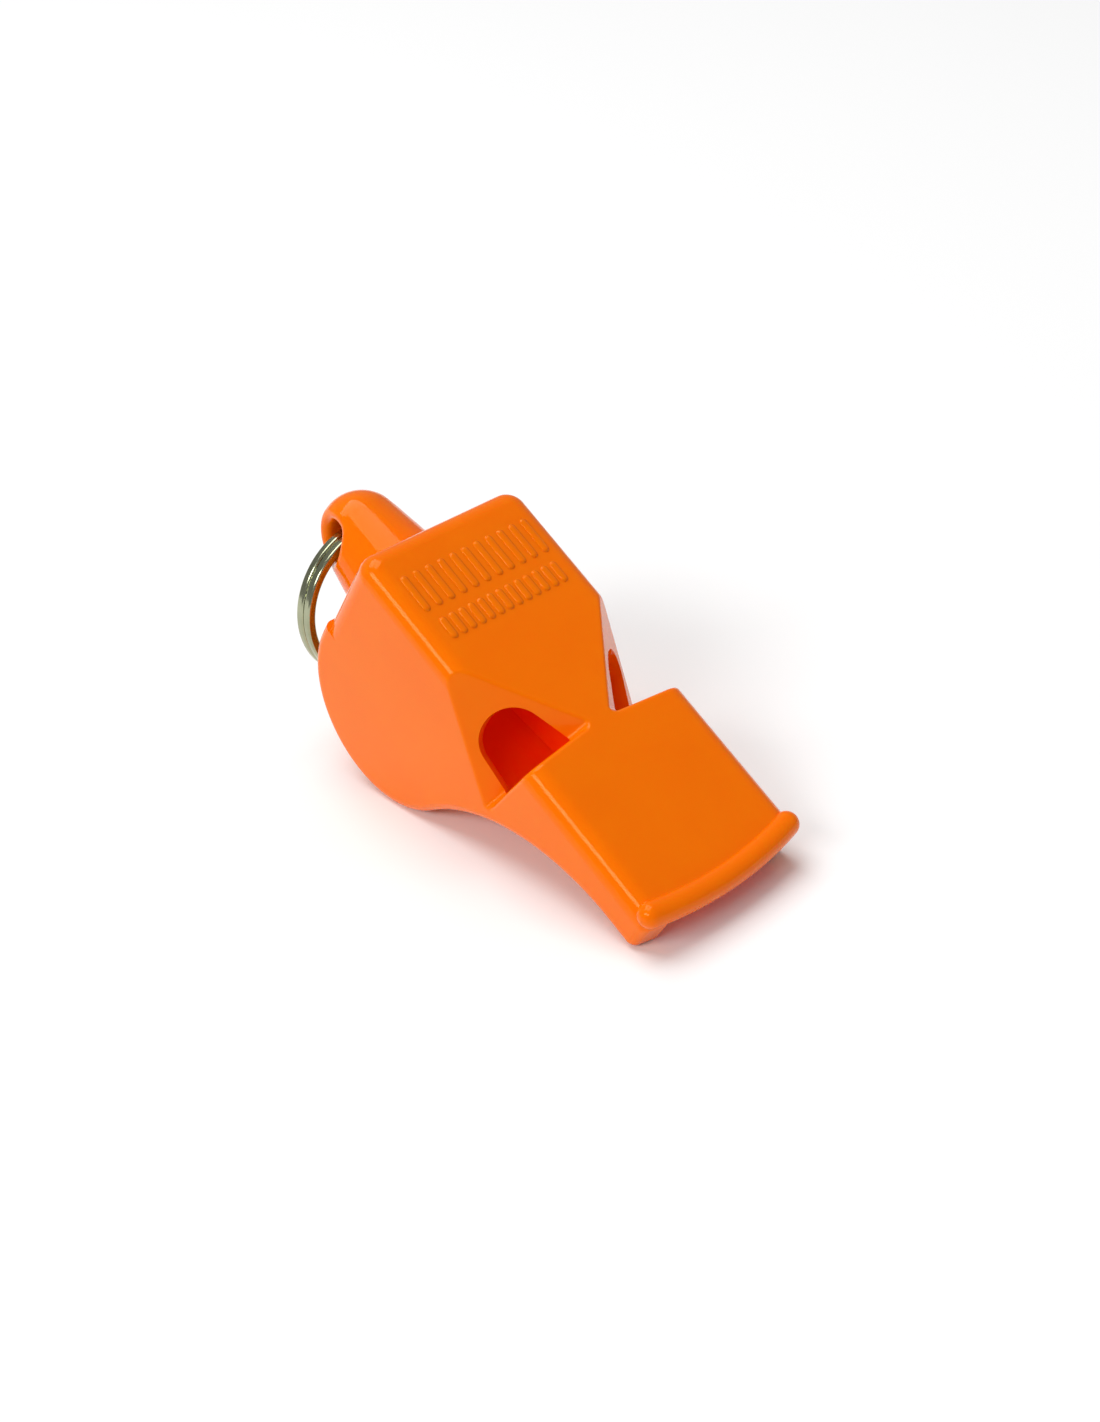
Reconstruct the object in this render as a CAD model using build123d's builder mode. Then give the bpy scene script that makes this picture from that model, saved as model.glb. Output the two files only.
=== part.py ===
from build123d import *
from math import acos, asin, atan2, cos, degrees, hypot, radians, sin, sqrt
import os

# Pealess training whistle: a round-bellied body under a flat deck, a thin wide mouthpiece with
# a raised lip, two cut corners that hold the side windows, a rear lug and a split ring.
# Millimetres. It rests on its belly and on the tip of its mouthpiece, nose down, with X forward,
# Y across and Z up. "Reach" is measured forward along the deck from the deck's back edge, and
# "depth" square to the deck, downwards.

# Outside of the body
body_width = 20.8
body_height = 25.2
drum_radius = 10.9
drum_overhang = 0.5
mouth_depth = 5.4
mouth_reach = 45.0
mouth_flat = 3.0
mouth_bulge = 1.2
tip_round = 1.0
deck_round = 2.0
belly_round = 1.0
corner_round = 2.2
corner_depth = 12.4

# Lip bead along the front edge of the deck
lip_radius = 1.3
lip_rise = 0.75
lip_proud = 0.2

# Cut corners, with the step behind the mouthpiece
facet_reach = 13.4
facet_round = 0.5
waist = 2.2
step_reach = 27.0
step_sweep = 1.0
step_lean = 1.4
foot_height = 1.8
crease_round = 0.5

# Windows
window_width = 8.2
window_taper = 0.8
window_length = 7.0
window_crown = 2.8
belly_window_width = 10.0
belly_window_length = 4.6
belly_window_setback = 0.4
window_corner = 0.8

# Walls, partitions and airways
wall = 1.6
mouth_wall = 2.6
roof_wall = 1.1
belly_wall = 1.3
partition = 1.2
plate_lift = 1.3
plate_rise = 1.4
seam_drop = 0.2
floor_setback = 1.2
tongue_setback = 2.2
airway_height = 1.0
airway_divider = 2.0
airway_lead = 0.3

# Rear lug
lug_reach = 12.1
lug_depth = 12.1
lug_tip_radius = 4.5
lug_base_radius = 6.0
lug_root = 0.8
lug_round = 0.6
hole_setback = 0.4
hole_clearance = 0.35
hole_flare = 0.8

# Split ring: two turns of flattened wire with a joggle between them
ring_radius = 8.7
ring_lift = 0.2
wire_height = 1.0
wire_width = 1.05
wire_round = 0.3
turn_gap = 0.08
joggle_place = 200.0
joggle_angle = 36.0
joggle_steps = 6
wire_end_angle = 4.0

# Closer than this, a point counts as on a surface
touch = 0.001

# Long enough to pass right through the body in any direction
through = 2 * (mouth_reach + body_height)

# Places in the side view, as (reach, height above the deck)
drum_centre = Vector(drum_radius - drum_overhang, drum_radius - body_height)
tip_bulge = mouth_bulge * (1 - (1 - 2 * mouth_wall / body_width) ** 2)
tip_centre = Vector(mouth_reach + tip_bulge - tip_round, tip_round - mouth_depth)
lug_tip = Vector(lug_tip_radius - lug_reach, -lug_depth)
hole_centre = lug_tip - Vector(hole_setback, 0)
lip_centre = Vector(mouth_reach + lip_proud - lip_radius, lip_rise - lip_radius)

# The neck is one arc that leaves the drum and runs into the flat of the mouthpiece smoothly
neck_end_reach = mouth_reach - mouth_flat
neck_run = neck_end_reach - drum_centre.X
neck_rise = -mouth_depth - drum_centre.Y
neck_radius = (neck_run**2 + neck_rise**2 - drum_radius**2) / (2 * (drum_radius + neck_rise))
neck_centre = Vector(neck_end_reach, -mouth_depth - neck_radius)
neck_angle = degrees(atan2(neck_centre.Y - drum_centre.Y, neck_centre.X - drum_centre.X))

# The foot of each cut corner stands a little above the underside of the neck
foot_reach = step_reach - step_lean
neck_depth = -neck_centre.Y - sqrt(neck_radius**2 - (neck_end_reach - foot_reach) ** 2)
facet_depth = neck_depth - foot_height

# The plate runs from above the middle of the drum to above the feet of the cut corners
plate_back_depth = -drum_centre.Y - plate_lift
plate_front_depth = facet_depth - plate_rise

# The seam at the back passes under the lug, and the third window ends before the step
seam_depth = lug_depth + lug_base_radius + lug_round + seam_drop
belly_window_reach = foot_reach - belly_window_setback - belly_window_length

# The ring lies across the lug's hole, and its arc drops by ring_sag between the hole's flares
mean_radius = ring_radius - wire_height / 2
ring_half_width = wire_width + turn_gap / 2
ring_sag = mean_radius - sqrt(mean_radius**2 - (lug_tip_radius - hole_flare) ** 2)
ring_drop = mean_radius - ring_lift
hole_radius = hypot(ring_half_width, wire_height / 2 + ring_sag - ring_lift) + hole_clearance

# The back face leans out from the deck's back edge to meet the drum smoothly
back_angle = degrees(atan2(-drum_centre.Y, -drum_centre.X) + acos(drum_radius / drum_centre.length))

# Standing attitude: the drum and the tip of the mouthpiece touch the floor together
tip_run = tip_centre - drum_centre
nose_down = degrees(atan2(tip_run.Y, tip_run.X) + asin((drum_radius - tip_round) / tip_run.length))
along = Vector(cos(radians(nose_down)), 0, -sin(radians(nose_down)))
upright = Vector(sin(radians(nose_down)), 0, cos(radians(nose_down)))
rear_end = lug_tip.X * along.X + lug_tip.Y * upright.X - lug_tip_radius
front_end = (lip_centre.X + mouth_bulge) * along.X + lip_centre.Y * upright.X + lip_radius
stand_height = drum_radius - drum_centre.X * along.Z - drum_centre.Y * upright.Z
deck_origin = Vector(-(rear_end + front_end) / 2, 0, stand_height)
back_way = upright * -sin(radians(back_angle - 90)) + along * -cos(radians(back_angle - 90))
deck = Plane(deck_origin, x_dir=along, z_dir=upright)
side = Plane(deck_origin, x_dir=along, z_dir=(0, -1, 0))


def spot(reach, across, height):
    """A point of the body, from its reach, its place across and its height above the deck."""
    return deck_origin + along * reach + Vector(0, across, 0) + upright * height


def side_outline(inset, front):
    """The body's side view up to a given reach, with its back, belly and floor moved in."""
    corner = Vector(inset, 0)
    radius = drum_radius - inset
    to_corner = corner - drum_centre
    meet_angle = degrees(atan2(to_corner.Y, to_corner.X) + acos(radius / to_corner.length))
    with BuildSketch(side) as outline:
        with BuildLine():
            drum = CenterArc(drum_centre, radius, meet_angle, 360 + neck_angle - meet_angle)
            neck = CenterArc(neck_centre, neck_radius + inset, 90, 90 + neck_angle)
            Polyline(neck @ 0, (front, inset - mouth_depth), (front, 0), corner, drum @ 0)
        make_face()
    return outline.sketch


def side_polygon(*points):
    """A flat shape in the side view, from (reach, height) points."""
    with BuildSketch(side) as shape:
        with BuildLine():
            Polyline(*points, close=True)
        make_face()
    return shape.sketch


# The cut corner on the -Y side, which the other one mirrors: its flat facet, and the step
facet_corner = spot(facet_reach, -body_width / 2, 0)
crease_top = spot(step_reach - step_sweep, -waist / 2, 0)
crease_foot = spot(foot_reach, -body_width / 2, -facet_depth)
crease_middle = (crease_top + crease_foot) / 2
crease_way = (crease_foot - crease_top).normalized()
facet_normal = (crease_foot - facet_corner).cross(crease_top - facet_corner).normalized()
facet_way = crease_way.cross(facet_normal)
step_slope = along * step_lean + upright * facet_depth
step_way = (step_slope - crease_way * step_slope.dot(crease_way)).normalized()
step_normal = step_way.cross(crease_way)
crease_angle = radians(facet_way.get_angle(step_way))


def cut_corners(grow, edge_round):
    """The two wedges cut from the body, grown by grow, with their inner edge rounded."""
    with BuildPart() as wedges:
        with BuildSketch(Plane(crease_middle, x_dir=facet_way, z_dir=-crease_way)) as wedge:
            with BuildLine():
                step_side = (through * cos(crease_angle), through * sin(crease_angle))
                Polyline((0, 0), (through, 0), step_side, close=True)
            make_face()
            if grow:
                offset(amount=grow, kind=Kind.INTERSECTION)
            if edge_round:
                fillet(wedge.vertices().sort_by_distance(crease_middle)[0], edge_round)
        extrude(amount=through, both=True)
        mirror(about=Plane.XZ)
    return wedges.part


def window_cutters():
    """The side windows: an arch on each facet, cut inwards along the face of the step."""
    with BuildPart() as windows:
        with BuildSketch(Plane(crease_middle, x_dir=-crease_way, z_dir=facet_normal)):
            with BuildLine():
                foot = window_width / 2
                shoulder = foot - window_taper
                spring = window_length - window_crown
                sides = Polyline((-shoulder, spring), (-foot, 0), (foot, 0), (shoulder, spring))
                ThreePointArc(sides @ 0, (0, window_length), sides @ 1)
            make_face()
        extrude(amount=2 * wall, dir=step_way, both=True)
        mirror(about=Plane.XZ)
    return windows.part


def airway_cutters():
    """The two upper airways, each twisting from a flat mouth slot to its window's front edge."""
    across = body_width / 2 - mouth_wall - airway_divider / 2
    middle = -(body_width / 2 - mouth_wall + airway_divider / 2) / 2
    mouth_point = spot(mouth_reach + 2 * mouth_bulge, middle, -roof_wall - airway_height / 2)
    exit_point = crease_middle - step_way * (airway_lead + airway_height / 2) - along * airway_lead
    with BuildPart() as airways:
        with BuildSketch(Plane(mouth_point, x_dir=(0, -1, 0), z_dir=along)):
            Rectangle(across, airway_height)
        with BuildSketch(Plane(exit_point, x_dir=crease_way, z_dir=step_normal)):
            Rectangle(window_width, airway_height)
        loft(ruled=True)
        mirror(about=Plane.XZ)
    return airways.part


def on_cut_rim(edge):
    """True for an edge round the facet or the step of a cut corner, but not along its crease."""
    points = [Vector(point.X, -abs(point.Y), point.Z) for point in (edge @ 0, edge @ 0.5, edge @ 1)]
    off_facet = max(abs((point - crease_middle).dot(facet_normal)) for point in points)
    off_step = max(abs((point - crease_middle).dot(step_normal)) for point in points)
    slant = (points[2] - points[0]).cross(crease_way).length
    return min(off_facet, off_step) < touch and slant > touch


def at_lug_root(edge):
    """True for an edge where the lug meets the back of the body."""
    offset = edge @ 0.5 - spot(0, 0, -lug_depth)
    reach = offset.dot(along)
    off_axis = (offset - along * reach).length
    return abs(reach) < lug_tip_radius / 2 and off_axis < lug_base_radius + lug_round


# --- spaces that the pieces share ------------------------------------------------------------

half_width = body_width / 2
front = mouth_reach + mouth_bulge

# The inside of the upper shell, open below and at the mouth
with BuildPart() as shell_opening:
    extrude(
        side_polygon(
            (wall, -wall),
            (step_reach, -wall),
            (step_reach, -through),
            (-through, -through),
            (-through, -seam_depth),
            (wall, -seam_depth),
        ),
        amount=half_width - wall,
        both=True,
    )
    extrude(
        side_polygon(
            (step_reach, -roof_wall),
            (through, -roof_wall),
            (through, -through),
            (step_reach, -through),
        ),
        amount=half_width - mouth_wall,
        both=True,
    )
    add(cut_corners(wall, 0), mode=Mode.SUBTRACT)

# The lower airway, over the belly shell from the mouth to behind the third window's front edge
with BuildPart() as lower_airway:
    extrude(side_outline(belly_wall, front), amount=belly_window_width / 2, both=True)
    extrude(
        side_outline(belly_wall + airway_height, front + mouth_bulge),
        amount=belly_window_width,
        both=True,
        mode=Mode.SUBTRACT,
    )
    with BuildSketch(Plane(spot(step_reach, 0, -roof_wall), x_dir=along, z_dir=-upright)):
        Rectangle(through, body_width)
    extrude(amount=body_height, mode=Mode.INTERSECT)

# --- upper shell: deck, sides, back, lug, cut corners and the roof of the mouthpiece ---------

with BuildPart() as upper_shell:
    extrude(side_outline(0, front), amount=half_width, both=True)
    with BuildSketch(deck) as plan:
        with BuildLine():
            nose = ThreePointArc((mouth_reach, -half_width), (front, 0), (mouth_reach, half_width))
            Polyline(nose @ 1, (-through, half_width), (-through, -half_width), nose @ 0)
        make_face()
    extrude(amount=through, both=True, mode=Mode.INTERSECT)

    # Softened edges of the tip, the belly and the neck
    fillet(upper_shell.edges().sort_by_distance(spot(front, 0, -mouth_depth))[0], tip_round)
    for side_sign in (-1, 1):
        belly_spot = spot(drum_centre.X, side_sign * half_width, -body_height)
        fillet(upper_shell.edges().sort_by_distance(belly_spot)[0], belly_round)

    # Rounded back corners, which end in a small ledge above the seam
    for side_sign in (-1, 1):
        corner_top = spot(0, side_sign * half_width, 0) - back_way * corner_round
        corner_plane = Plane(corner_top, x_dir=(0, -side_sign, 0), z_dir=back_way)
        with BuildSketch(corner_plane) as corner:
            Rectangle(2 * corner_round, 2 * corner_round)
            with Locations((corner_round, -side_sign * corner_round)):
                Circle(corner_round, mode=Mode.SUBTRACT)
        extrude(amount=corner_round + corner_depth, mode=Mode.SUBTRACT)

    # Softened deck
    deck_face = upper_shell.faces().sort_by(Axis(deck_origin, upright))[-1]
    nose_edge = deck_face.edges().sort_by_distance(spot(front, 0, 0))[0]
    fillet([edge for edge in deck_face.edges() if edge != nose_edge], deck_round)

    # Lip bead along the front of the deck, with round ends
    bead_end = half_width + lip_proud - lip_radius
    bead_bulge = mouth_bulge * (bead_end / half_width) ** 2
    with BuildLine() as bead_path:
        ThreePointArc(
            spot(lip_centre.X + mouth_bulge - bead_bulge, -bead_end, lip_centre.Y),
            spot(lip_centre.X + mouth_bulge, 0, lip_centre.Y),
            spot(lip_centre.X + mouth_bulge - bead_bulge, bead_end, lip_centre.Y),
        )
    with BuildSketch(bead_path.line ^ 0):
        Circle(lip_radius)
    sweep(path=bead_path.line)
    with Locations(bead_path.line @ 0, bead_path.line @ 1):
        Sphere(lip_radius)

    # Cut corners, with softened rims
    add(cut_corners(0, crease_round), mode=Mode.SUBTRACT)
    fillet(upper_shell.edges().filter_by(on_cut_rim), facet_round)

    # Rear lug, tangent to its round tip, with a flared cross hole
    lug_slope = degrees(asin((lug_base_radius - lug_tip_radius) / (lug_root - lug_tip.X)))
    with BuildSketch(side):
        with BuildLine():
            tip = CenterArc(lug_tip, lug_tip_radius, 90 + lug_slope, 90 - lug_slope)
            base_top = (lug_root, lug_base_radius - lug_depth)
            Polyline(tip @ 1, (lug_root, -lug_depth), base_top, tip @ 0)
        make_face()
    revolve(axis=Axis(spot(0, 0, -lug_depth), along))
    fillet(upper_shell.edges().filter_by(at_lug_root), lug_round)
    with BuildSketch(Plane(spot(hole_centre.X, 0, hole_centre.Y), x_dir=along, z_dir=(0, 1, 0))):
        Circle(hole_radius)
    extrude(amount=through, both=True, mode=Mode.SUBTRACT)
    hole_rims = upper_shell.edges(Select.LAST).filter_by(GeomType.LINE, reverse=True)
    fillet(hole_rims, hole_flare)

    # The inside, the windows and the upper airways
    add(shell_opening.part, mode=Mode.SUBTRACT)
    add(window_cutters(), mode=Mode.SUBTRACT)
    add(airway_cutters(), mode=Mode.SUBTRACT)
upper_shell.part.label = "upper_shell"

# --- belly shell: the belly, the underside of the neck and the floor of the mouthpiece -------

with BuildPart() as belly_shell:
    extrude(side_outline(0, mouth_reach - floor_setback), amount=half_width, both=True)
    add(shell_opening.part, mode=Mode.INTERSECT)
    extrude(
        side_outline(belly_wall, mouth_reach), amount=half_width, both=True, mode=Mode.SUBTRACT
    )
    # The third window, cut square to the deck where the neck rises
    window_middle = spot(belly_window_reach + belly_window_length / 2, 0, 0)
    with BuildSketch(Plane(window_middle, x_dir=along, z_dir=-upright)):
        RectangleRounded(belly_window_length, belly_window_width, window_corner)
    extrude(amount=body_height, mode=Mode.SUBTRACT)
belly_shell.part.label = "belly_shell"

# --- chamber insert: the block between the airways, the plate and the rib --------------------

with BuildPart() as chamber_insert:
    block_end = mouth_reach - tongue_setback
    lean = step_lean / facet_depth
    extrude(
        side_polygon(
            (step_reach, 0),
            (block_end, 0),
            (block_end, -body_height),
            (step_reach - lean * body_height, -body_height),
        ),
        amount=half_width,
        both=True,
    )
    extrude(
        side_polygon(
            (0, -plate_back_depth),
            (step_reach, -plate_front_depth),
            (step_reach, -plate_front_depth - partition),
            (0, -plate_back_depth - partition),
        ),
        amount=half_width,
        both=True,
    )
    extrude(
        side_polygon(
            (0, 0), (step_reach, 0), (step_reach, -plate_front_depth), (0, -plate_back_depth)
        ),
        amount=partition / 2,
        both=True,
    )
    add(shell_opening.part, mode=Mode.INTERSECT)
    extrude(
        side_outline(belly_wall, mouth_reach), amount=half_width, both=True, mode=Mode.INTERSECT
    )

    # Upper airways, and the lower one that runs over the belly shell to the third window
    add(airway_cutters(), mode=Mode.SUBTRACT)
    add(lower_airway.part, mode=Mode.SUBTRACT)
chamber_insert.part.label = "chamber_insert"

# --- split ring: two turns of flattened wire hanging through the lug -------------------------

ring_hub = spot(hole_centre.X, 0, hole_centre.Y) + Vector(0, 0, -ring_drop)
turn_step = wire_width + turn_gap


def wire_section(angle, sideways):
    """The wire's section at an angle up from -Y about the ring's hub, shifted along X."""
    outwards = Vector(0, -cos(radians(angle)), sin(radians(angle)))
    forwards = Vector(0, sin(radians(angle)), cos(radians(angle)))
    place = ring_hub + outwards * mean_radius + Vector(sideways, 0, 0)
    with BuildSketch(Plane(place, x_dir=outwards, z_dir=forwards)) as section:
        RectangleRounded(wire_height, wire_width, wire_round)
    return section.sketch


with BuildPart() as split_ring:
    turn_arc = 360 - joggle_angle - wire_end_angle
    joggle_start = joggle_place - joggle_angle
    hub_axis = Axis(ring_hub, (-1, 0, 0))
    revolve(wire_section(joggle_start, -turn_step / 2), axis=hub_axis, revolution_arc=-turn_arc)
    revolve(wire_section(joggle_place, turn_step / 2), axis=hub_axis, revolution_arc=turn_arc)
    for step in range(joggle_steps + 1):
        share = step / joggle_steps
        blend = share * share * (3 - 2 * share)
        add(wire_section(joggle_start + joggle_angle * share, turn_step * (blend - 1 / 2)))
    loft()
split_ring.part.label = "split_ring"

os.makedirs("parts", exist_ok=True)
export_step(upper_shell.part, "parts/upper_shell.step")
export_step(belly_shell.part, "parts/belly_shell.step")
export_step(chamber_insert.part, "parts/chamber_insert.step")
export_step(split_ring.part, "parts/split_ring.step")
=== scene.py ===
import math

import bpy
from mathutils import Matrix, Vector


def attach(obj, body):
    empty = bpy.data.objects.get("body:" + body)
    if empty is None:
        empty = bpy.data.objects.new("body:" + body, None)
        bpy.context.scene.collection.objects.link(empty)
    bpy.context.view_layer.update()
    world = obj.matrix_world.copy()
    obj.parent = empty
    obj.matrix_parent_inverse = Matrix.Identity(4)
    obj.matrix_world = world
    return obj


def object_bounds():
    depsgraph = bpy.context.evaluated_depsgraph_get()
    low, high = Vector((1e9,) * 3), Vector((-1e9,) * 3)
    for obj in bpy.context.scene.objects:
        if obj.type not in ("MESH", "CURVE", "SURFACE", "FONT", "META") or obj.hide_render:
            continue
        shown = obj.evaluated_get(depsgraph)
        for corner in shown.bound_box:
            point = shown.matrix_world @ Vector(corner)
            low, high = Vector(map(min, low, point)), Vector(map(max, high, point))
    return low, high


# A pealess training whistle: glossy orange shells, a duller insert inside, two rows of raised
# grip bars on the deck, weld beads along the belly and a nickelled split ring in the rear lug.
# It rests on its belly and on the tip of its mouthpiece, with X forward and Z up.

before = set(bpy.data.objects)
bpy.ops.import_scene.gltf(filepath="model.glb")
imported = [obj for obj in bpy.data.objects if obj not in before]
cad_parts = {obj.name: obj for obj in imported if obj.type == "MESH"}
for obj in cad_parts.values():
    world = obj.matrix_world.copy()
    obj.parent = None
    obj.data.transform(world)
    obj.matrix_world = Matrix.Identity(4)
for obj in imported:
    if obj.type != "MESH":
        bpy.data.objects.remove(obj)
cad_low, cad_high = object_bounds()
scene = bpy.context.scene

MM = 0.001

# The body's own axes: reach runs forward along the deck, height stands square to it
NOSE_DOWN = math.radians(32.36)
ALONG = Vector((math.cos(NOSE_DOWN), 0, -math.sin(NOSE_DOWN)))
UPRIGHT = Vector((math.sin(NOSE_DOWN), 0, math.cos(NOSE_DOWN)))
DECK_REACH = 11 * MM
DECK_POINT = Vector((-1.562, 0, 22.659)) * MM

# The belly's side view, as (reach, height): a round drum that runs into the curve of the neck
DRUM_CENTRE = (10.4 * MM, -14.3 * MM)
DRUM_RADIUS = 10.9 * MM
NECK_CENTRE = (42 * MM, -29.616 * MM)
NECK_RADIUS = 24.216 * MM

# Grip bars, which stand up from the deck by half of their flattened height
BAR_RADIUS = 0.42 * MM
BAR_FLATTEN = 0.5

# Weld beads, sunk until only a sliver shows. Their angles are in degrees, up from the +reach way.
WELD_ACROSS = 8.8 * MM
BEAD_RADIUS = 0.2 * MM
BEAD_SUNK = 0.19 * MM
DRUM_BEAD_START = 206
DRUM_BEAD_END = 334.14
DRUM_BEAD_STEPS = 60
NECK_BEAD_START = 152.14
NECK_BEAD_END = 130.14
NECK_BEAD_STEPS = 11

# Sizes of the patterns in the plastic and in the wire's plating
FLOW_SIZE = 9 * MM
RIPPLE_SIZE = 1.6 * MM
SCUFF_SIZE = 0.25 * MM
DRAWN_LINE = 0.06 * MM
DRAWN_LENGTH = 5 * MM
CLOUD_SIZE = 2.5 * MM

# How much rougher the plastic's skin is where it is worn
SKIN_SPREAD = 0.09

# A colour Mix node's sockets go by number, because several of them share a name
MIX_FACTOR, MIX_FIRST, MIX_SECOND, MIX_RESULT = 0, 6, 7, 2


def spot(reach, across, height):
    """A point of the body, from its reach, its place across and its height above the deck."""
    return DECK_POINT + ALONG * (reach - DECK_REACH) + Vector((0, across, 0)) + UPRIGHT * height


def linear(hex_colour):
    """An sRGB hex colour as linear RGBA."""
    channels = [int(hex_colour[i : i + 2], 16) / 255 for i in (1, 3, 5)]
    return (*[c / 12.92 if c <= 0.04045 else ((c + 0.055) / 1.055) ** 2.4 for c in channels], 1)


def add_node(tree, kind, settings=None, links=None):
    """Adds a node to a tree: its settings by socket or property name, its links by input socket."""
    node = tree.nodes.new(kind)
    for name, value in (settings or {}).items():
        if isinstance(name, str) and hasattr(node, name):
            setattr(node, name, value)
        else:
            node.inputs[name].default_value = value
    for name, source in (links or {}).items():
        tree.links.new(source, node.inputs[name])
    return node


def new_material(name):
    material = bpy.data.materials.new(name)
    material.use_nodes = True
    material.node_tree.nodes.clear()
    return material, material.node_tree


# --- materials -------------------------------------------------------------------------------


def moulded_abs(name, light, deep, glow, glow_reach, roughness, painted_glow=0.0):
    """Injection moulded ABS: flow clouds in its colour under a skin with faint polish marks.

    painted_glow is a painted red glow given off by the piece itself, standing in for the light that
    thin walls around it let through.
    """
    material, tree = new_material(name)
    place = add_node(tree, "ShaderNodeTexCoord").outputs["Object"]
    flow = add_node(
        tree,
        "ShaderNodeTexNoise",
        {"Scale": 1 / FLOW_SIZE, "Detail": 3.0, "Distortion": 0.6},
        {"Vector": place},
    )
    tint = add_node(
        tree,
        "ShaderNodeMix",
        {"data_type": "RGBA", MIX_FIRST: linear(light), MIX_SECOND: linear(deep)},
        {MIX_FACTOR: flow.outputs["Fac"]},
    )
    ripple = add_node(
        tree, "ShaderNodeTexNoise", {"Scale": 1 / RIPPLE_SIZE, "Detail": 2.0}, {"Vector": place}
    )
    scuffs = add_node(
        tree, "ShaderNodeTexNoise", {"Scale": 1 / SCUFF_SIZE, "Detail": 4.0}, {"Vector": place}
    )
    wear = add_node(
        tree,
        "ShaderNodeMath",
        {"operation": "MULTIPLY"},
        {0: ripple.outputs["Fac"], 1: scuffs.outputs["Fac"]},
    )
    skin = add_node(
        tree,
        "ShaderNodeMapRange",
        {
            "From Min": 0.1,
            "From Max": 0.45,
            "To Min": roughness,
            "To Max": roughness + SKIN_SPREAD,
        },
        {"Value": wear.outputs["Value"]},
    )
    bump = add_node(
        tree,
        "ShaderNodeBump",
        {"Strength": 0.08, "Distance": 0.02 * MM},
        {"Height": ripple.outputs["Fac"]},
    )
    shader = add_node(
        tree,
        "ShaderNodeBsdfPrincipled",
        {
            "IOR": 1.48,
            "Specular IOR Level": 0.4,
            "Specular Tint": linear("#FFBE84"),
            "Subsurface Weight": glow,
            "Subsurface Radius": (1.0, 0.2, 0.02),
            "Subsurface Scale": glow_reach,
            # Painted glow: the piece gives off red light of its own, standing in for light let
            # through thin walls
            "Emission Color": linear("#FF2000"),
            "Emission Strength": painted_glow,
        },
        {
            "Base Color": tint.outputs[MIX_RESULT],
            "Roughness": skin.outputs["Result"],
            "Normal": bump.outputs["Normal"],
        },
    )
    add_node(tree, "ShaderNodeOutputMaterial", {}, {"Surface": shader.outputs["BSDF"]})
    return material


def nickel_steel(name):
    """Nickel-plated spring wire: a clouded yellowish plating over lines drawn along the wire.

    The lines are finer than the eye can part at this size, so they show as a softer polish.
    """
    material, tree = new_material(name)
    place = add_node(tree, "ShaderNodeTexCoord").outputs["Object"]
    wire_way = add_node(
        tree,
        "ShaderNodeMapping",
        {"Scale": (1 / DRAWN_LINE, 1 / DRAWN_LENGTH, 1 / DRAWN_LENGTH)},
        {"Vector": place},
    )
    drawn = add_node(
        tree,
        "ShaderNodeTexNoise",
        {"Scale": 1.0, "Detail": 2.0},
        {"Vector": wire_way.outputs["Vector"]},
    )
    cloud = add_node(
        tree, "ShaderNodeTexNoise", {"Scale": 1 / CLOUD_SIZE, "Detail": 3.0}, {"Vector": place}
    )
    tint = add_node(
        tree,
        "ShaderNodeMix",
        {"data_type": "RGBA", MIX_FIRST: linear("#BDBFA2"), MIX_SECOND: linear("#8A8F70")},
        {MIX_FACTOR: cloud.outputs["Fac"]},
    )
    polish = add_node(
        tree,
        "ShaderNodeMapRange",
        {"From Min": 0.3, "From Max": 0.7, "To Min": 0.1, "To Max": 0.22},
        {"Value": drawn.outputs["Fac"]},
    )
    bump = add_node(
        tree,
        "ShaderNodeBump",
        {"Strength": 0.15, "Distance": 0.01 * MM},
        {"Height": drawn.outputs["Fac"]},
    )
    shader = add_node(
        tree,
        "ShaderNodeBsdfPrincipled",
        {"Metallic": 1.0},
        {
            "Base Color": tint.outputs[MIX_RESULT],
            "Roughness": polish.outputs["Result"],
            "Normal": bump.outputs["Normal"],
        },
    )
    add_node(tree, "ShaderNodeOutputMaterial", {}, {"Surface": shader.outputs["BSDF"]})
    return material


def dress(node_name, material):
    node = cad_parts[node_name]
    for slot in node.material_slots:
        slot.material = material


# Polished orange plastic: a clear bright skin, with a warm glow at thin edges
shell_abs = moulded_abs(
    "glossy_orange_abs",
    light="#FA7800",
    deep="#F56E00",
    glow=0.25,
    glow_reach=1.5 * MM,
    roughness=0.03,
)
# Plastic from a plain tool, deep inside the body: redder and duller, with a painted red glow for the
# light let through the walls
insert_abs = moulded_abs(
    "satin_orange_abs",
    light="#FF4400",
    deep="#FF2C00",
    glow=1.0,
    glow_reach=4 * MM,
    roughness=0.3,
    painted_glow=0.12,
)
# Weld flash is squeezed out hot: the same orange, with a rougher skin
weld_abs = moulded_abs(
    "weld_flash_abs",
    light="#F87000",
    deep="#EE6200",
    glow=0.3,
    glow_reach=1.5 * MM,
    roughness=0.28,
)
# The ring's wire: yellowish nickel that mirrors the body in streaks
wire_nickel = nickel_steel("nickel_plated_wire")
dress("upper_shell", shell_abs)
dress("belly_shell", shell_abs)
dress("chamber_insert", insert_abs)
dress("split_ring", wire_nickel)

# --- geometry node pieces --------------------------------------------------------------------


def piece_tree(name, inputs):
    """A geometry node tree with named inputs: the tree, and its group input node's outputs."""
    tree = bpy.data.node_groups.new(name, "GeometryNodeTree")
    tree.interface.new_socket("Geometry", in_out="OUTPUT", socket_type="NodeSocketGeometry")
    for label, kind in inputs.items():
        tree.interface.new_socket(label, in_out="INPUT", socket_type="NodeSocket" + kind)
    return tree, add_node(tree, "NodeGroupInput").outputs


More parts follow.
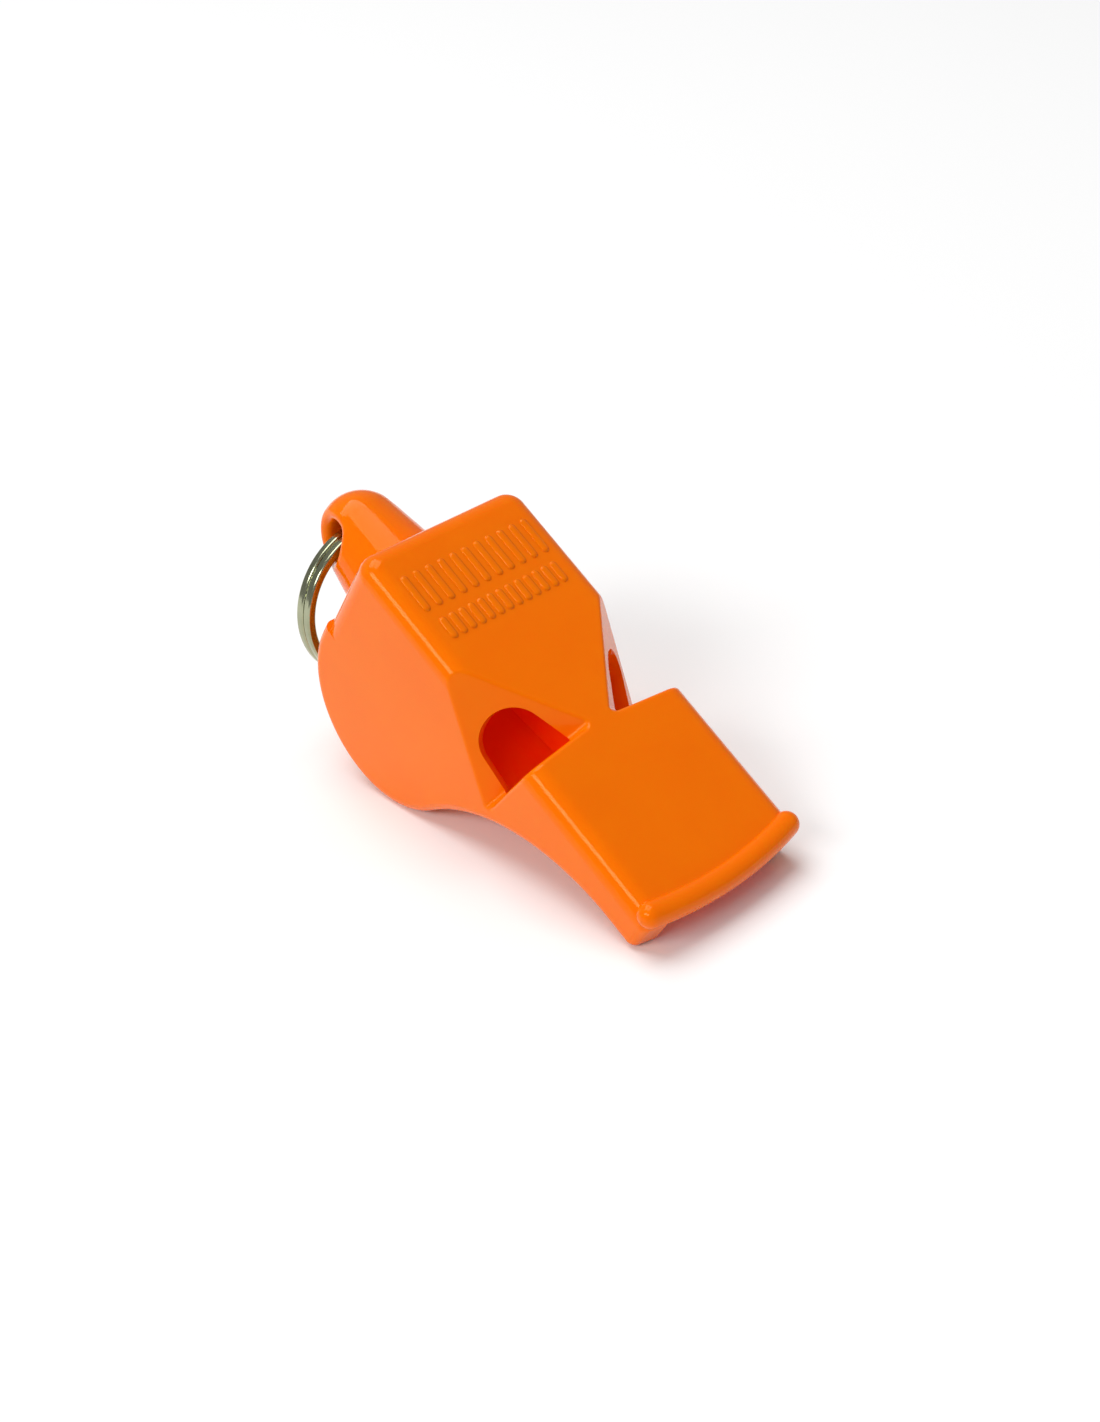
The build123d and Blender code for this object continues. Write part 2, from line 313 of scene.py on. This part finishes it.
def finish_tree(tree, geometry, given):
    """Ends a tree with real, smooth geometry in the given material."""
    real = add_node(tree, "GeometryNodeRealizeInstances", {}, {"Geometry": geometry})
    smooth = add_node(
        tree, "GeometryNodeSetShadeSmooth", {}, {"Geometry": real.outputs["Geometry"]}
    )
    painted = add_node(
        tree,
        "GeometryNodeSetMaterial",
        {},
        {"Geometry": smooth.outputs["Geometry"], "Material": given["Material"]},
    )
    add_node(tree, "NodeGroupOutput", {}, {"Geometry": painted.outputs["Geometry"]})


def run_tree(tree, name, source, values):
    """Runs a tree on a source mesh with these inputs, and keeps the result as a plain mesh."""
    piece = bpy.data.objects.new(name, source)
    scene.collection.objects.link(piece)
    modifier = piece.modifiers.new("build", "NODES")
    modifier.node_group = tree
    for item in tree.interface.items_tree:
        if item.in_out == "INPUT" and item.name in values:
            modifier[item.identifier] = values[item.name]
    built = piece.evaluated_get(bpy.context.evaluated_depsgraph_get())
    mesh = bpy.data.meshes.new_from_object(built)
    piece.modifiers.remove(modifier)
    piece.data = mesh
    mesh.name = name
    return piece


def bar_row_tree():
    """A row of round-ended bars: each is the hull of two flattened balls."""
    tree, given = piece_tree(
        "bar_row",
        {
            "Count": "Int",
            "Spacing": "Vector",
            "First": "Vector",
            "Half Length": "Vector",
            "Radius": "Float",
            "Flatten": "Vector",
            "Turn": "Vector",
            "Place": "Vector",
            "Material": "Material",
        },
    )
    ball = add_node(
        tree,
        "GeometryNodeMeshUVSphere",
        {"Segments": 32, "Rings": 16},
        {"Radius": given["Radius"]},
    )
    back_way = add_node(
        tree,
        "ShaderNodeVectorMath",
        {"operation": "SCALE", "Scale": -1.0},
        {0: given["Half Length"]},
    )
    ends = add_node(tree, "GeometryNodeJoinGeometry")
    for end in (given["Half Length"], back_way.outputs["Vector"]):
        moved = add_node(
            tree,
            "GeometryNodeTransform",
            {},
            {"Geometry": ball.outputs["Mesh"], "Translation": end, "Scale": given["Flatten"]},
        )
        tree.links.new(moved.outputs["Geometry"], ends.inputs["Geometry"])
    bar = add_node(tree, "GeometryNodeConvexHull", {}, {"Geometry": ends.outputs["Geometry"]})
    line = add_node(
        tree,
        "GeometryNodeMeshLine",
        {},
        {"Count": given["Count"], "Start Location": given["First"], "Offset": given["Spacing"]},
    )
    row = add_node(
        tree,
        "GeometryNodeInstanceOnPoints",
        {},
        {"Points": line.outputs["Mesh"], "Instance": bar.outputs["Convex Hull"]},
    )
    turned = add_node(
        tree,
        "GeometryNodeTransform",
        {},
        {
            "Geometry": row.outputs["Instances"],
            "Translation": given["Place"],
            "Rotation": given["Turn"],
        },
    )
    finish_tree(tree, turned.outputs["Geometry"], given)
    return tree


def bead_tree():
    """A thin round bead laid along the edges of its source mesh, with closed ends."""
    tree, given = piece_tree(
        "bead", {"Geometry": "Geometry", "Radius": "Float", "Material": "Material"}
    )
    path = add_node(tree, "GeometryNodeMeshToCurve", {}, {"Mesh": given["Geometry"]})
    section = add_node(
        tree, "GeometryNodeCurvePrimitiveCircle", {"Resolution": 12}, {"Radius": given["Radius"]}
    )
    bead = add_node(
        tree,
        "GeometryNodeCurveToMesh",
        {"Fill Caps": True},
        {"Curve": path.outputs["Curve"], "Profile Curve": section.outputs["Curve"]},
    )
    finish_tree(tree, bead.outputs["Mesh"], given)
    return tree


def grip_row(tree, name, reach, count, spacing, length):
    """A row of plain raised bars across the deck, each lying along it."""
    piece = run_tree(
        tree,
        name,
        bpy.data.meshes.new(name),
        {
            "Count": count,
            "Spacing": (0, spacing, 0),
            "First": (0, -spacing * (count - 1) / 2, 0),
            "Half Length": (length / 2 - BAR_RADIUS, 0, 0),
            "Radius": BAR_RADIUS,
            "Flatten": (1, 1, BAR_FLATTEN),
            "Turn": (0, NOSE_DOWN, 0),
            "Place": spot(reach, 0, 0),
            "Material": shell_abs,
        },
    )
    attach(piece, "whistle")


bar_row = bar_row_tree()
grip_row(
    bar_row, "grip_bars_rear", reach=6.2 * MM, count=11, spacing=1.55 * MM, length=4.4 * MM
)
grip_row(
    bar_row, "grip_bars_front", reach=10.8 * MM, count=13, spacing=1.2 * MM, length=2.6 * MM
)


def arc_points(centre, radius, start, end, steps, across):
    """Points round an arc of the side view, at one place across the body."""
    points = []
    for step in range(steps + 1):
        angle = math.radians(start + (end - start) * step / steps)
        reach = centre[0] + radius * math.cos(angle)
        height = centre[1] + radius * math.sin(angle)
        points.append(spot(reach, across, height))
    return points


def weld_bead(tree, name, across):
    """The flash that a weld leaves on one side of the belly: round the drum, then up the neck."""
    drum = arc_points(
        DRUM_CENTRE,
        DRUM_RADIUS - BEAD_SUNK,
        DRUM_BEAD_START,
        DRUM_BEAD_END,
        DRUM_BEAD_STEPS,
        across,
    )
    neck = arc_points(
        NECK_CENTRE,
        NECK_RADIUS + BEAD_SUNK,
        NECK_BEAD_START,
        NECK_BEAD_END,
        NECK_BEAD_STEPS,
        across,
    )
    points = drum + neck
    path = bpy.data.meshes.new(name)
    path.from_pydata(points, [(i, i + 1) for i in range(len(points) - 1)], [])
    piece = run_tree(tree, name, path, {"Radius": BEAD_RADIUS, "Material": weld_abs})
    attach(piece, "whistle")


bead = bead_tree()
weld_bead(bead, "weld_bead_left", WELD_ACROSS)
weld_bead(bead, "weld_bead_right", -WELD_ACROSS)

# --- floor, light and camera -----------------------------------------------------------------

scene.view_settings.view_transform = "Standard"

FLOOR_REACH = 3.0

# The camera aims at a point above the floor, behind the whistle's front end
AIM_BEHIND_FRONT = 24.45 * MM
AIM_HEIGHT = 12.22 * MM


def pale_floor():
    """Matt white paper, wide enough to fill the picture from the main camera."""
    mesh = bpy.data.meshes.new("floor")
    corners = [(x * FLOOR_REACH, y * FLOOR_REACH, 0) for x, y in ((-1, -1), (1, -1), (1, 1), (-1, 1))]
    mesh.from_pydata(corners, [], [(0, 1, 2, 3)])
    floor = bpy.data.objects.new("floor", mesh)
    scene.collection.objects.link(floor)
    material, tree = new_material("pale_paper")
    shader = add_node(
        tree, "ShaderNodeBsdfPrincipled", {"Base Color": linear("#FCFCFC"), "Roughness": 0.9}
    )
    add_node(tree, "ShaderNodeOutputMaterial", {}, {"Surface": shader.outputs["BSDF"]})
    mesh.materials.append(material)


def towards(azimuth, elevation):
    """A unit vector from an azimuth, measured from -Y towards +X, and an elevation in degrees."""
    azimuth, elevation = math.radians(azimuth), math.radians(elevation)
    flat = math.cos(elevation)
    return Vector((math.sin(azimuth) * flat, -math.cos(azimuth) * flat, math.sin(elevation)))


def softbox(name, back, distance, width, height, watts, aim):
    """An area light that faces aim from a distance back along a direction."""
    data = bpy.data.lights.new(name, "AREA")
    data.shape = "RECTANGLE"
    data.size = width
    data.size_y = height
    data.energy = watts
    lamp = bpy.data.objects.new(name, data)
    lamp.location = aim + back * distance
    lamp.rotation_euler = back.to_track_quat("Z", "Y").to_euler()
    scene.collection.objects.link(lamp)


def camera(aim, back, roll, distance, lens):
    right = Vector((0, 0, 1)).cross(back).normalized()
    turn = Matrix((right, back.cross(right), back)).transposed().to_4x4()
    data = bpy.data.cameras.new("camera")
    data.lens = lens
    data.clip_start = 10 * MM
    eye = bpy.data.objects.new("camera", data)
    roll_turn = Matrix.Rotation(math.radians(roll), 4, "Z")
    eye.matrix_world = Matrix.Translation(aim + back * distance) @ turn @ roll_turn
    scene.collection.objects.link(eye)
    scene.camera = eye


pale_floor()
middle = (cad_low + cad_high) / 2
camera(
    aim=Vector((cad_high.x - AIM_BEHIND_FRONT, 0, AIM_HEIGHT)),
    back=towards(48.54, 32.84),
    roll=-3.78,
    distance=190.1 * MM,
    lens=49.2,
)
# A low wide window draws the bright bands along the near edges, and the light above evens the rest
softbox(
    "window_light",
    back=towards(7, 37),
    distance=1.5,
    width=0.9,
    height=0.4,
    watts=9,
    aim=middle,
)
softbox(
    "top_light",
    back=towards(-80, 72),
    distance=1.5,
    width=1.2,
    height=1.2,
    watts=16.5,
    aim=middle,
)

world = bpy.data.worlds.new("studio")
scene.world = world
world.use_nodes = True
background = world.node_tree.nodes["Background"]
background.inputs["Color"].default_value = (1, 1, 1, 1)
background.inputs["Strength"].default_value = 0.28
